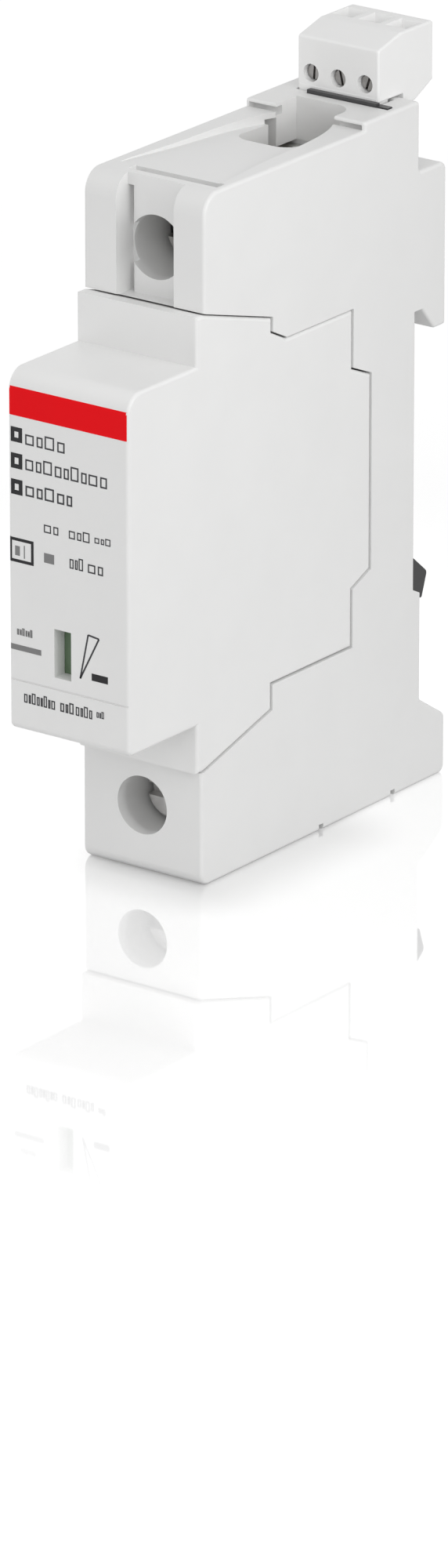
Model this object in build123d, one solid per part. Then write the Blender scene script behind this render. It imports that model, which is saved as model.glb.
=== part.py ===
from build123d import *
import math
import os

# A plug-in surge arrester, one module wide, for a 35 mm rail.
# X is the module's width, Y runs from the front (-Y) to the rail (+Y), Z is up.
# Y = 0 is the plane on which the rail's flanges lie, and Z = 0 is the rail's centre line.
# Sizes are in millimetres. Heights are given for the upper half and mirrored for the lower.

# Shared walls and clearances
module_width = 17.8
wall = 1.6
cover_thickness = 1.5
seam = 0.2
running = 0.05
loose = 0.15
edge_round = 0.45

# Rail and its hook
rail_height = 35.0
rail_play = 0.4
hook_gap = 1.3
hook_grip = 2.8
hook_tip = 4.0
hook_back = 6.2
hook_top = 35.4

# Base case
case_height = 86.6
tower_front = 43.0
foot_front = 43.6
tower_round = 2.8
foot_round = 1.5
top_back = 0.6
rear_plate_front = 10.7
rear_plate_rise = 1.0
low_back = 1.4
heel_top = 32.4
heel_slope = 3.3
heel_back = 6.6
seam_notch_width = 0.9
seam_notch_depth = 0.8
peg_radius = 1.0
peg_length = 1.5

# Front recess and top of the upper tower
pillar_inner_left = 4.1
pillar_inner_right = 4.4
recess_depth = 2.4
joint_slot_width = 0.9
joint_slot_depth = 1.1
upper_hole_radius = 4.0
lower_hole_radius = 3.7
groove_width = 1.6
groove_depth = 1.5
roof = 4.4
chute_drop = 1.3
entry_width = 8.6
entry_length = 13.2
entry_back = 6.6
entry_round = 2.4
slit_height = 0.6
slit_depth = 1.2
slit_sink = 0.45
slit_margin = 0.5
pocket_depth = 2.4
pocket_length = 1.6

# Cartridge outline
nose_front = 58.0
nose_height = 45.0
nose_round = 2.6
nose_foot_round = 0.9
nose_side_round = 0.5
shoulder_front = 44.5
shoulder_height = 57.2
slope_front = 43.2
slope_end = 29.5
slope_end_height = 49.4
key_back = 26.5
key_rise = 1.5
waist_height = 42.8
waist_back = 13.1
heel_outer_height = 28.0
heel_inner_height = 24.8
cartridge_back_depth = 9.3
front_wall = 2.0

# Indicator window and flag
window_center_x = -0.9
window_width = 2.5
window_top = 8.6
window_height = 6.1
flag_thickness = 1.0
flag_margin = 0.95
flag_rail_depth = 1.0
label_line_z = 16.15
label_line_width = 0.25
label_line_depth = 0.15

# Terminals
terminal_z = 34.7
screw_radius = 2.5
head_radius = 3.4
head_length = 2.2
lower_head_length = 6.3
head_seat = 32.0
guide_wall = 1.2
guide_step = 0.3
drive_slot_width = 1.6
drive_slot_depth = 1.5
cage_width = 13.2
cage_height = 7.6
cage_side = 1.3
cage_nut = 2.5
cage_travel = 8.0
cage_round = 1.2
wire_room = 9.8
busbar_thickness = 1.6
busbar_width = 9.0
busbar_bend = 1.8

# Plug blades and contacts
blade_z = 17.7
blade_thickness = 1.5
blade_width = 8.0
blade_tip = 6.7
blade_root = 24.0
leaf_thickness = 0.55

# Varistor and disconnector
varistor_thickness = 8.8
varistor_height = 31.0
varistor_front = 46.0
varistor_depth = 29.0
varistor_round = 3.6
varistor_bevel = 1.2
electrode_radius = 5.0
electrode_thickness = 0.5
solder_thickness = 0.6
solder_radius = 1.6
strap_thickness = 0.9
arm_thickness = 0.8
arm_width = 3.0
arm_front = 8.6
arm_swing = 42.0
pivot_z = -9.0
pivot_radius = 1.2
arm_rear_y = -33.0
arm_rear_z = -3.0
pin_radius = 0.5
pull_spring_radius = 1.0
pull_spring_wire = 0.35
pull_spring_length = 12.0
pull_spring_turns = 6

# Signal switch, plunger and header
plunger_x = 6.0
plunger_width = 1.6
plunger_reach = 0.8
plunger_entry = 0.5
pin_pitch = 4.0
pin_size = 0.8
pin_y = -2.85
header_sink = 1.9
header_depth = 4.0
header_base = 4.4
header_lip_rise = 0.25
header_lip_left = 4.0
header_gap = 0.1
opening_half_width = 6.4
opening_front = 4.9
pry_notch = 8.0

# Signalling plug
plug_width = 12.0
plug_front = 4.0
plug_gap = 0.2
plug_height = 7.8
plug_brow_rise = 6.6
plug_brow_depth = 4.6
plug_back = 7.3
plug_heel_rise = 0.4
plug_heel_front = 3.7
plug_heel_drop = 1.4
plug_tongue_thickness = 2.4
plug_screw_rise = 2.1
plug_screw_radius = 0.95
plug_hole_radius = 1.12
plug_screw_length = 4.9
clamp_width = 2.9
clamp_wall = 0.4
clamp_nut = 0.9
clamp_travel = 1.8
funnel_size = 2.8
funnel_neck = 1.9
funnel_y = 4.0
contact_thickness = 0.45

# Rail latch
latch_half_width = 5.0
latch_wing = 1.2
latch_thickness = 2.0
latch_lip_back = 8.1
latch_lip_bottom = 21.6
latch_tail = 42.8
window_half_width = 2.0
latch_window_top = 20.8
latch_window_height = 14.2
latch_spring_radius = 0.85
latch_spring_wire = 0.35
latch_spring_turns = 7
latch_stop_height = 1.3

# Values that follow from those above
half_width = module_width / 2
inner_left = -half_width + cover_thickness
inner_right = half_width - wall
case_top = case_height / 2
rail_half = rail_height / 2
hook_apex = rail_half + rail_play
hook_lip = rail_half - hook_grip
plate_top = case_top + rear_plate_rise
header_top = plate_top - header_sink
header_floor = header_top - header_depth
switch_top = header_floor - header_base
plug_bottom = plate_top + plug_gap
plug_top = plug_bottom + plug_height
plug_brow = plug_bottom + plug_brow_rise
plug_heel = plug_bottom + plug_heel_rise
plug_screw_z = plug_bottom + plug_screw_rise
roof_z = case_top - roof
recess_y = -(tower_front - recess_depth)
chamber_front = recess_y + wall
chamber_back = -entry_back + loose
head_back = -head_seat
partition = wall - 0.1
nose_half = nose_height / 2
waist_half = waist_height / 2
waist_floor = waist_half + seam + wall
slope_floor = slope_end_height / 2 + seam + wall
spine_front = -(waist_back - seam) + wall
busbar_back = -(top_back + wall + 0.6)
blade_bottom = blade_z - blade_thickness / 2
blade_top = blade_z + blade_thickness / 2
jaw_top = blade_bottom - 0.03
jaw_bottom = jaw_top - busbar_thickness
jaw_front = spine_front + 2 * loose
leg_middle = busbar_back - 0.8 - busbar_thickness / 2
contact_floor = jaw_bottom - running
cage_front = head_back + cage_travel + 0.7
cage_back = -(entry_back + 0.5)
wire_back = cage_back - cage_side
tongue_back = wire_back - wire_room
tongue_front = tongue_back - busbar_thickness
hood_inner = half_width - cover_thickness
nose_inner = nose_half - wall
window_bottom = window_top + window_height
flag_front = -nose_front + front_wall + running
flag_back = flag_front + flag_thickness
flag_low = -(nose_inner - 0.25)
flag_high = -window_top + 0.2
flag_half = window_width / 2 + flag_margin
arm_half_swing = math.radians(arm_swing) / 2
pivot_y = flag_back + flag_rail_depth + loose + pin_radius + arm_front
arm_left = -(varistor_thickness / 2 + electrode_thickness + solder_thickness + arm_thickness)
strap_left = inner_left + running
switch_floor = hook_apex + wall + 0.3
switch_front = -(top_back + wall) + 0.5
switch_back = hook_back - wall
plug_half = plug_width / 2
tongue_low = header_floor + running
tongue_front_y = pin_y - plug_tongue_thickness / 2
tongue_back_y = pin_y + plug_tongue_thickness / 2


def block(x0, x1, y0, y1, z0, z1):
    """A box between two opposite corners."""
    centre = Pos((x0 + x1) / 2, (y0 + y1) / 2, (z0 + z1) / 2)
    return centre * Box(x1 - x0, y1 - y0, z1 - z0)


def rod(radius, y0, y1, x=0.0, z=0.0):
    """A round bar along Y."""
    return Pos(x, (y0 + y1) / 2, z) * Rot(90, 0, 0) * Cylinder(radius, y1 - y0)


def cross_rod(radius, x0, x1, y, z):
    """A round bar along X."""
    return Pos((x0 + x1) / 2, y, z) * Rot(0, 90, 0) * Cylinder(radius, x1 - x0)


def profile(*corners):
    """A face in the Y-Z plane. Each corner is (y, z) or (y, z, radius)."""
    points = [(0, corner[0], corner[1]) for corner in corners]
    radii = [corner[2] if len(corner) > 2 else 0 for corner in corners]
    return make_face(FilletPolyline(*points, radius=radii, close=True).edges())


def prism(face, x0, x1):
    """A Y-Z face drawn out along X."""
    return Pos(x0, 0, 0) * extrude(face, amount=x1 - x0, dir=(1, 0, 0))


def strip(path, thickness, x0, x1):
    """A bent metal strip: its centre line in the Y-Z plane, its thickness and its width along X."""
    bends = [busbar_bend if thickness > 1 else thickness * 1.5] * (len(path) - 2)
    line = FilletPolyline(*[(0, y, z) for y, z in path], radius=bends)
    return prism(trace_side(line, thickness), x0, x1)


def trace_side(line, thickness):
    """The outline of a strip whose centre line lies in the Y-Z plane."""
    sides = []
    for way in (-0.5, 0.5):
        edges = []
        for edge in line.edges():
            start = edge @ 0 + side_step(edge % 0, way * thickness)
            middle = edge @ 0.5 + side_step(edge % 0.5, way * thickness)
            end = edge @ 1 + side_step(edge % 1, way * thickness)
            straight = edge.geom_type == GeomType.LINE
            edges.append(Line(start, end) if straight else ThreePointArc(start, middle, end))
        sides.append(edges)
    near, far = sides
    caps = [Line(near[0] @ 0, far[0] @ 0), Line(near[-1] @ 1, far[-1] @ 1)]
    return make_face(Curve() + near + far + caps)


def side_step(direction, distance):
    """A step at right angles to a direction in the Y-Z plane."""
    return Vector(0, -direction.Z, direction.Y) * distance


def lower(shape):
    """The same shape in the lower half."""
    return mirror(shape, about=Plane.XY)


def seat_height(y):
    """Half the height of the cartridge's sloping shoulder at a place along Y."""
    share = (y + slope_front) / (slope_front - slope_end)
    return shoulder_height / 2 + share * (slope_end_height - shoulder_height) / 2


# Cartridge outline, which the base's seat follows with an even gap
def cartridge_outline():
    shoulder = shoulder_height / 2
    slope_low = slope_end_height / 2
    heel_out = heel_outer_height / 2
    heel_in = heel_inner_height / 2
    return profile(
        (-nose_front, nose_half, nose_round),
        (-shoulder_front, nose_half),
        (-shoulder_front, shoulder),
        (-slope_front, shoulder),
        (-slope_end, slope_low),
        (-slope_end, waist_half + key_rise),
        (-key_back, waist_half),
        (-waist_back, waist_half),
        (-waist_back, heel_out),
        (-cartridge_back_depth, heel_in),
        (-cartridge_back_depth, -heel_in),
        (-waist_back, -heel_out),
        (-waist_back, -waist_half),
        (-slope_end, -waist_half),
        (-slope_end, -slope_low),
        (-slope_front, -shoulder),
        (-shoulder_front, -shoulder),
        (-shoulder_front, -nose_half),
        (-nose_front, -nose_half, nose_foot_round),
    )


# Base outline, with the rail hook and the slanted heel
def base_outline():
    return profile(
        (-tower_front, 0),
        (-tower_front, case_top, tower_round),
        (-rear_plate_front, case_top),
        (-rear_plate_front, plate_top, 0.3),
        (top_back, plate_top, 0.5),
        (top_back, hook_top, 0.5),
        (hook_back, hook_top, 1.0),
        (hook_back, hook_lip, 0.3),
        (hook_tip, hook_lip, 0.3),
        (hook_gap, hook_apex),
        (0, hook_apex),
        (0, -hook_apex),
        (low_back, -hook_apex - 0.7),
        (low_back, -heel_top, 0.8),
        (heel_back, -heel_top - heel_slope, 0.8),
        (heel_back, -case_top, 1.0),
        (-foot_front, -case_top, foot_round),
        (-foot_front, 0),
    )


def base_shell(x0, x1, outer_x):
    """A slice of the base with one rounded outer side and the cartridge's seat cut out."""
    shell = prism(base_outline(), x0, x1)
    side = shell.faces().sort_by(Axis.X)[-1 if outer_x > 0 else 0]
    shell = fillet(side.edges().filter_by(lambda edge: edge.length > 2.5), edge_round)
    seat = offset(cartridge_outline(), amount=seam, kind=Kind.INTERSECTION)
    return shell - prism(seat, x0 - 1, x1 + 1)


def terminal_chamber(front):
    """The room for one terminal's screw, cage and busbar."""
    drop = -(key_back - wall)
    ledge = seat_height(front) + seam + wall
    room = profile(
        (front, roof_z),
        (chamber_back, roof_z),
        (chamber_back, waist_floor),
        (drop, waist_floor),
        (drop, slope_floor),
        (-slope_end, slope_floor),
        (front, ledge),
    )
    return prism(room, inner_left - 1, inner_right)


def driver_hole(radius, front):
    """A screwdriver's way in: the hole through a front wall, its wider guide tube and the tube's bore."""
    inner = radius + guide_step
    wall_hole = rod(radius, front - 1, front + wall, z=terminal_z)
    tube = rod(inner + guide_wall, front + wall - 0.2, head_back, z=terminal_z)
    bore = rod(inner, front + wall, head_back + 0.5, z=terminal_z)
    return wall_hole, tube, bore


def contact_chamber():
    """The room for the busbar's leg and the blade's contact in the spine."""
    room = block(inner_left - 1, inner_right, spine_front, busbar_back, contact_floor, slope_floor)
    blade_slot = block(
        -blade_width / 2 - loose, blade_width / 2 + loose,
        -waist_back - 1, spine_front + 1,
        blade_bottom - loose, blade_top + loose,
    )
    return room + blade_slot


def wire_entry():
    """The U-shaped hole through which the conductor goes down into the cage."""
    plan = RectangleRounded(entry_width, entry_length, entry_round)
    corner = Rectangle(entry_round, entry_round)
    plan += Pos((entry_round - entry_width) / 2, (entry_length - entry_round) / 2) * corner
    middle_y = -entry_back - entry_length / 2
    return Pos(0, middle_y, roof_z - 1) * extrude(plan, amount=roof + 3)


def chute():
    """The shallow funnel in the roof that narrows towards the wire entry."""
    front = -(tower_front - recess_depth - wall - groove_width + 0.4)
    end = -entry_back - entry_length / 3
    rise = prism(
        profile(
            (front, case_top - 0.1),
            (end, case_top - chute_drop),
            (end, case_top + 2),
            (front, case_top + 2),
        ),
        -half_width, half_width,
    )
    wide = -inner_left
    narrow = entry_width / 2
    bend = (wide * 0.88, front * 0.75)
    side = Spline((wide, front), bend, (narrow, end), tangents=[(-0.05, 1), (-0.5, 1)])
    outline = Curve() + [side, mirror(side, about=Plane.YZ)]
    outline += Line((-wide, front), (wide, front))
    outline += Line((-narrow, end), (narrow, end))
    plan = Pos(0, 0, roof_z) * extrude(make_face(outline.edges()), amount=roof + 2)
    return rise & plan


def tower_front_cuts():
    """The recess between the pillars, the dark joint slot and the groove behind the top."""
    low = shoulder_height / 2
    recess = block(
        -pillar_inner_left, pillar_inner_right, -tower_front - 1, recess_y, low, case_top + 1
    )
    slot = block(
        -pillar_inner_left, -pillar_inner_left + joint_slot_width,
        recess_y - 1, recess_y + joint_slot_depth,
        low, case_top - groove_depth,
    )
    groove = block(
        -pillar_inner_left - 0.9, half_width - 0.8,
        chamber_front - 0.4, chamber_front - 0.4 + groove_width,
        case_top - groove_depth, case_top + 1,
    )
    return recess + slot + groove


def rear_plate_slits():
    """The slits under the front edge of the raised rear plate, each side of the entry."""
    inner = entry_width / 2 - 1
    cuts = Part()
    outer = half_width - slit_margin
    for x0, x1 in ((-outer, -inner), (inner, outer)):
        cuts += block(
            x0, x1, -rear_plate_front - running, -rear_plate_front + slit_depth,
            case_top - slit_sink, case_top + slit_height,
        )
    return cuts


def signal_room():
    """The stepped room behind the terminal for the switch and the header, open at the top."""
    front = chamber_back + partition
    upper = block(
        -opening_half_width, opening_half_width, front, switch_back, slope_floor + 0.3, switch_top
    )
    under = block(
        -opening_half_width, inner_right, switch_front, switch_back,
        switch_floor, slope_floor + 0.4,
    )
    well = block(
        -opening_half_width, opening_half_width, front, -(wall - top_back),
        switch_top - 0.1, header_top + header_gap,
    )
    mouth = block(
        -plug_half - loose, plug_half + loose, tongue_front_y - loose, -(wall - top_back),
        header_top, plate_top + 1,
    )
    mouth += block(
        -header_lip_left - header_gap, opening_half_width, front, tongue_front_y,
        header_top, plate_top + 1,
    )
    pry = block(
        0, pry_notch, -opening_front, -opening_front + 1.2, case_top - 0.6, plate_top + 1
    )
    return upper + under + well + mouth + pry


def plunger_bore():
    """The square hole from the cartridge's seat through the spine to the signal room."""
    half = plunger_width / 2 + loose
    through = block(
        plunger_x - half, plunger_x + half, -waist_back - 1, busbar_back,
        blade_z - half, blade_z + half,
    )
    rise = block(
        plunger_x - half, plunger_x + half, busbar_back - 2.2, switch_front + 0.2,
        blade_z - half, switch_floor + 2.2,
    )
    return through + rise


def latch_channel():
    """The T-shaped channel for the rail latch, open to the back above the heel."""
    top = -hook_apex + 0.1
    front = -0.9 - loose
    narrow = block(
        -latch_half_width - loose, latch_half_width + loose,
        front, low_back - 0.1, -case_top - 1, top,
    )
    above_heel = block(
        -latch_half_width - loose, latch_half_width + loose,
        front, low_back + 1, -heel_top + 0.4, top,
    )
    wide = block(
        -latch_half_width - latch_wing - loose, latch_half_width + latch_wing + loose,
        front, 0.2 + loose, -case_top - 1, top - 0.8,
    )
    stop = block(
        -window_half_width + 0.4, window_half_width - 0.4, front - 0.5, 0.9,
        latch_stop_low(), latch_stop_low() + latch_stop_height,
    )
    return narrow + above_heel + wide - stop


def latch_stop_low():
    """The bottom of the block in the channel on which the latch spring stands."""
    return -(latch_window_top + latch_window_height) + loose


def peg_places():
    """Where the cover's pegs go into solid parts of the moulding."""
    return (
        (-cartridge_back_depth / 2, heel_inner_height / 4),
        (-cartridge_back_depth / 2, -heel_inner_height / 4),
        (recess_y - wall / 2, terminal_z),
        (heel_back - wall - peg_radius, -case_top + heel_slope + 2 * peg_radius),
    )


def base_moulding():
    """The base's main moulding in one piece, open on the cover's side."""
    body = base_shell(inner_left, half_width, 1)
    body -= terminal_chamber(chamber_front)
    body -= lower(terminal_chamber(-foot_front + wall))
    body -= contact_chamber()
    body -= lower(contact_chamber())
    body -= wire_entry()
    body -= lower(wire_entry())
    body -= chute()
    body -= tower_front_cuts()
    body -= rear_plate_slits()
    body -= block(
        -entry_width / 2 - pocket_depth, 0,
        -rear_plate_front - pocket_length, -rear_plate_front,
        roof_z - 0.5, case_top - 0.7,
    )
    wall_hole, tube, bore = driver_hole(upper_hole_radius, recess_y)
    body = body + tube - wall_hole - bore
    wall_hole, tube, bore = driver_hole(lower_hole_radius, -foot_front)
    body = body + lower(tube) - lower(wall_hole) - lower(bore)
    body -= signal_room()
    body -= plunger_bore()
    body -= latch_channel()
    for notch_y in (-entry_back - entry_length + 1, -opening_front + 1):
        body -= block(
            inner_right + 0.5, half_width + 1, notch_y - seam_notch_width, notch_y,
            -case_top - 1, -case_top + seam_notch_depth,
        )
    for y, z in peg_places():
        body -= cross_rod(
            peg_radius + running, inner_left - 1, inner_left + peg_length + loose, y, z
        )
    return body


def base_parts():
    """The moulding cut into the tower with the hook, the spine behind the cartridge and the foot."""
    body = base_moulding()
    cut = waist_half - key_rise
    reach = 2 * case_height
    spine = block(-reach, reach, -reach, 0, -cut, cut)
    above = block(-reach, reach, -reach, reach, 0, reach)
    return (body & above) - spine, body & spine, (body & lower(above)) - spine


def base_cover():
    cover = base_shell(-half_width, inner_left, -1) - rear_plate_slits()
    for y, z in peg_places():
        cover += cross_rod(peg_radius, inner_left - 0.5, inner_left + peg_length, y, z)
    return cover


def busbar():
    """The strip from the tongue in the cage, back along the floor and down to the lower jaw."""
    half = busbar_thickness / 2
    run_z = waist_floor + running + half
    path = (
        (tongue_back - half, roof_z - loose),
        (tongue_back - half, run_z),
        (leg_middle, run_z),
        (leg_middle, jaw_bottom + half),
        (jaw_front, jaw_bottom + half),
    )
    return strip(path, busbar_thickness, -busbar_width / 2, busbar_width / 2)


def contact_spring():
    """The leaf that lies against the busbar's leg and presses the blade on the jaw."""
    half = leaf_thickness / 2
    leaf_y = leg_middle - busbar_thickness / 2 - running - half
    arm_z = blade_top + 0.03 + half
    path = (
        (leaf_y, waist_floor - 0.6),
        (leaf_y, arm_z),
        (jaw_front + 1.4, arm_z),
        (jaw_front + 0.3, arm_z + 0.5),
    )
    return strip(path, leaf_thickness, -blade_width / 2, blade_width / 2)


def terminal_screw(length):
    """A captive screw with a slotted head of this length, its axis along Y."""
    face = head_back - length
    head = rod(head_radius, face, head_back, z=terminal_z)
    head = chamfer(head.faces().sort_by(Axis.Y)[0].edges(), 0.4)
    shank = rod(screw_radius, head_back - 0.5, tongue_front - running, z=terminal_z)
    slot = block(
        -head_radius - 1, head_radius + 1, face - 1, face + drive_slot_depth,
        terminal_z - drive_slot_width / 2, terminal_z + drive_slot_width / 2,
    )
    return head + shank - slot


def terminal_cage():
    """A ring of folded steel round the busbar's tongue, with a thick threaded front wall."""
    depth = cage_back - cage_front
    outer = RectangleRounded(cage_width, depth, cage_round)
    inside = cage_width - 2 * cage_side
    room = wire_back - cage_front - cage_nut
    ring = Pos(0, (cage_front + cage_back) / 2, 0) * outer
    ring -= Pos(0, wire_back - room / 2, 0) * Rectangle(inside, room)
    cage = Pos(0, 0, terminal_z - cage_height / 2) * extrude(ring, amount=cage_height)
    return cage - rod(screw_radius + running, cage_front - 1, cage_front + cage_nut + 1, z=terminal_z)


def nose_rounding():
    """A bar that rounds the nose's upright front edges."""
    reach = nose_front + 20
    plan = Pos(0, -nose_front + reach / 2) * Rectangle(module_width, reach)
    plan = fillet(plan.vertices().group_by(Axis.Y)[0], nose_side_round)
    return Pos(0, 0, -shoulder_height) * extrude(plan, amount=2 * shoulder_height)


def cartridge_housing():
    outline = cartridge_outline()
    hood = prism(outline, -half_width, half_width)
    for side in (-1, 0):
        hood = fillet(hood.faces().sort_by(Axis.X)[side].edges(), edge_round)
    hood &= nose_rounding()
    hood -= prism(hood_room(), -hood_inner, hood_inner)
    hood -= block(
        window_center_x - window_width / 2, window_center_x + window_width / 2,
        -nose_front - 1, -nose_front + front_wall + 1, -window_bottom, -window_top,
    )
    hood -= block(
        -half_width - 1, half_width + 1, -nose_front - 1, -nose_front + label_line_depth,
        -label_line_z - label_line_width / 2, -label_line_z + label_line_width / 2,
    )
    return hood + flag_rails() + spring_anchor() + arm_pivot()


def hood_room():
    """The hollow of the hood, open to the back between the waist's walls."""
    shoulder_y = -shoulder_front + wall
    slope_y = -slope_end - wall
    skin = wall * 1.05
    top = [
        (-nose_front + front_wall, nose_inner),
        (shoulder_y, nose_inner),
        (shoulder_y, seat_height(shoulder_y) - skin - 0.2),
        (slope_y, seat_height(slope_y) - skin),
        (slope_y, waist_half - wall),
        (0, waist_half - wall),
    ]
    bottom = [(y, -z) for y, z in reversed(top)]
    return profile(*top, *bottom)


def flag_rails():
    """Two lipped rails that hold the flag against the front wall."""
    back = -nose_front + front_wall
    rails = Part()
    for side in (-1, 1):
        inner = window_center_x + side * (flag_half + loose)
        outer = inner + side * 1.1
        lip = inner - side * 0.75
        rails += block(
            min(inner, outer), max(inner, outer), back - 0.5, flag_back + flag_rail_depth,
            -nose_inner - 0.5, -window_top + window_height + 0.6,
        )
        rails += block(
            min(lip, outer), max(lip, outer), flag_back + loose, flag_back + flag_rail_depth,
            -nose_inner - 0.5, -window_top + window_height + 0.6,
        )
    return rails


def spring_low():
    """The lower end of the flag's spring, on the flag's top edge."""
    return flag_high + running


def spring_anchor():
    """The shelf under which the flag's spring hangs."""
    low = spring_low() + pull_spring_length
    return block(
        window_center_x - 1.6, window_center_x + 1.6,
        -nose_front + front_wall - 0.5, flag_back + 1.6, low, low + 1.5,
    )


def arm_pivot():
    """The moulded pin on which the disconnect arm turns."""
    return cross_rod(pivot_radius, inner_left - 0.5, arm_left + arm_thickness + 0.3, pivot_y, pivot_z)


def cartridge_back():
    """The inset rear plate, stepped like the cartridge's outline."""
    outer_z = waist_half - wall - running
    heel_out = heel_outer_height / 2
    heel_in = heel_inner_height / 2
    thick = wall
    back = profile(
        (-waist_back, outer_z),
        (-waist_back, heel_out),
        (-cartridge_back_depth, heel_in),
        (-cartridge_back_depth, -heel_in),
        (-waist_back, -heel_out),
        (-waist_back, -outer_z),
        (-waist_back - thick, -outer_z),
        (-waist_back - thick, -heel_out + thick / 2),
        (-cartridge_back_depth - thick, -heel_in + thick / 2),
        (-cartridge_back_depth - thick, heel_in - thick / 2),
        (-waist_back - thick, heel_out - thick / 2),
        (-waist_back - thick, outer_z),
    )
    plate = prism(back, -hood_inner + running, hood_inner - running)
    half = blade_width / 2 + 0.02
    for side in (-1, 1):
        z = side * blade_z
        plate -= block(
            -half, half, -waist_back - thick - 1, -waist_back + 1,
            z - blade_thickness / 2 - 0.02, z + blade_thickness / 2 + 0.02,
        )
    reach = plunger_width / 2 + 2 * loose
    plate -= block(
        plunger_x - reach, plunger_x + reach, -waist_back - thick - 1, -waist_back + 1,
        blade_z - reach, blade_z + reach,
    )
    return plate


def varistor_block():
    """The coated disc pack with one electrode pad on its left face."""
    pack = block(
        -varistor_thickness / 2, varistor_thickness / 2,
        -varistor_front, -varistor_front + varistor_depth,
        -varistor_height / 2, varistor_height / 2,
    )
    pack = fillet(pack.edges().filter_by(Axis.X), varistor_round)
    pack = chamfer(pack.faces().sort_by(Axis.X)[0].edges(), varistor_bevel)
    left = -varistor_thickness / 2
    return pack + cross_rod(
        electrode_radius, left - electrode_thickness, left + 1, arm_rear_y, arm_rear_z
    )


def upper_blade():
    """The plug blade, with a lug folded down on the varistor's right electrode."""
    blade = block(
        -blade_width / 2, blade_width / 2, -blade_root, -blade_tip, blade_bottom, blade_top
    )
    blade = chamfer(blade.faces().sort_by(Axis.Y)[-1].edges().filter_by(Axis.X), 0.35)
    lug_x = varistor_thickness / 2 + running
    shelf = block(0, lug_x + 0.9, -blade_root, -blade_root + 6, blade_bottom, blade_top)
    lug = block(lug_x, lug_x + 0.9, -blade_root, -blade_root + 6, 5, blade_top)
    return blade + shelf + lug


def lower_blade():
    """The other plug blade, with a strap along the left wall to the arm's pivot."""
    blade = block(
        -blade_width / 2, blade_width / 2, -blade_root, -blade_tip, -blade_top, -blade_bottom
    )
    blade = chamfer(blade.faces().sort_by(Axis.Y)[-1].edges().filter_by(Axis.X), 0.35)
    shelf = block(strap_left, 0, -blade_root, -blade_root + 5, -blade_top, -blade_bottom)
    strap_face = profile(
        (-blade_root + 5, -blade_top),
        (-blade_root + 5, -blade_bottom + 1),
        (pivot_y + 2, pivot_z + 2.6, 2.0),
        (pivot_y - 2.6, pivot_z + 2.6, 2.0),
        (pivot_y - 2.6, pivot_z - 2.6, 2.0),
        (-blade_root, -blade_top),
    )
    strap = prism(strap_face, strap_left, strap_left + strap_thickness)
    hole = cross_rod(
        pivot_radius + running, strap_left - 1, strap_left + strap_thickness + 1, pivot_y, pivot_z
    )
    return blade + shelf + strap - hole


def thermal_solder():
    left = -(varistor_thickness / 2 + electrode_thickness)
    return cross_rod(solder_radius, left - solder_thickness, left, arm_rear_y, arm_rear_z)


def arm_tip():
    """Where the arm's front pin stands at rest, half the swing below the pivot."""
    return (
        pivot_y - arm_front * math.cos(arm_half_swing),
        pivot_z - arm_front * math.sin(arm_half_swing),
    )


def disconnect_arm():
    """A flat two-ended lever: its rear end is soldered, its front pin lifts the flag."""
    tip_y, tip_z = arm_tip()
    arm = Part()
    for y, z, width in ((tip_y, tip_z, arm_width * 0.6), (arm_rear_y, arm_rear_z, arm_width)):
        length = math.hypot(y - pivot_y, z - pivot_z)
        angle = math.degrees(math.atan2(z - pivot_z, y - pivot_y))
        bar = SlotCenterToCenter(length, width)
        lever = Plane.YZ * Pos((y + pivot_y) / 2, (z + pivot_z) / 2) * Rot(0, 0, angle) * bar
        arm += prism(lever, arm_left, arm_left + arm_thickness)
    arm += cross_rod(arm_width * 0.75, arm_left, arm_left + arm_thickness, pivot_y, pivot_z)
    arm += cross_rod(pin_radius, arm_left, window_center_x - 0.2, tip_y, tip_z)
    return arm - cross_rod(pivot_radius + running, arm_left - 1, arm_left + 3, pivot_y, pivot_z)


def indicator_flag():
    """A sliding plate behind the window, with a slotted tab for the arm's pin."""
    plate = block(
        window_center_x - flag_half, window_center_x + flag_half,
        flag_front, flag_back, flag_low, flag_high,
    )
    tip_y, tip_z = arm_tip()
    tab = block(
        window_center_x - 1.4, window_center_x, flag_back - 0.1, tip_y + 2.2, tip_z - 1.3, tip_z + 1.3
    )
    slot = block(
        window_center_x - 2, window_center_x + 1, tip_y - 1.3, tip_y + 1.3,
        tip_z - pin_radius - running, tip_z + pin_radius + running,
    )
    return plate + tab - slot


def coil(radius, wire, length, turns):
    """A spring standing on Z = 0: a six-sided wire laid along a helix in short straight steps."""
    rise = length - wire
    helix = Helix(pitch=rise / turns, height=rise, radius=radius - wire / 2)
    steps = 14 * turns
    path = Polyline(*[helix @ (step / steps) for step in range(steps + 1)])
    section = Plane(origin=path @ 0, z_dir=path % 0) * RegularPolygon(wire / 2, 6)
    return Pos(0, 0, wire / 2) * sweep(section, path=path, transition=Transition.RIGHT)


def disconnect_spring():
    winding = coil(
        pull_spring_radius, pull_spring_wire, pull_spring_length - 2 * running, pull_spring_turns
    )
    return Pos(window_center_x, flag_back + 0.4, spring_low() + running) * winding


def latch_spring():
    """The spring between the block in the channel and the top of the latch's window."""
    low = latch_stop_low() + latch_stop_height
    length = -latch_window_top - low - 2 * running
    winding = coil(latch_spring_radius, latch_spring_wire, length, latch_spring_turns)
    return Pos(0, 0.1, low + running) * winding


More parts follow.
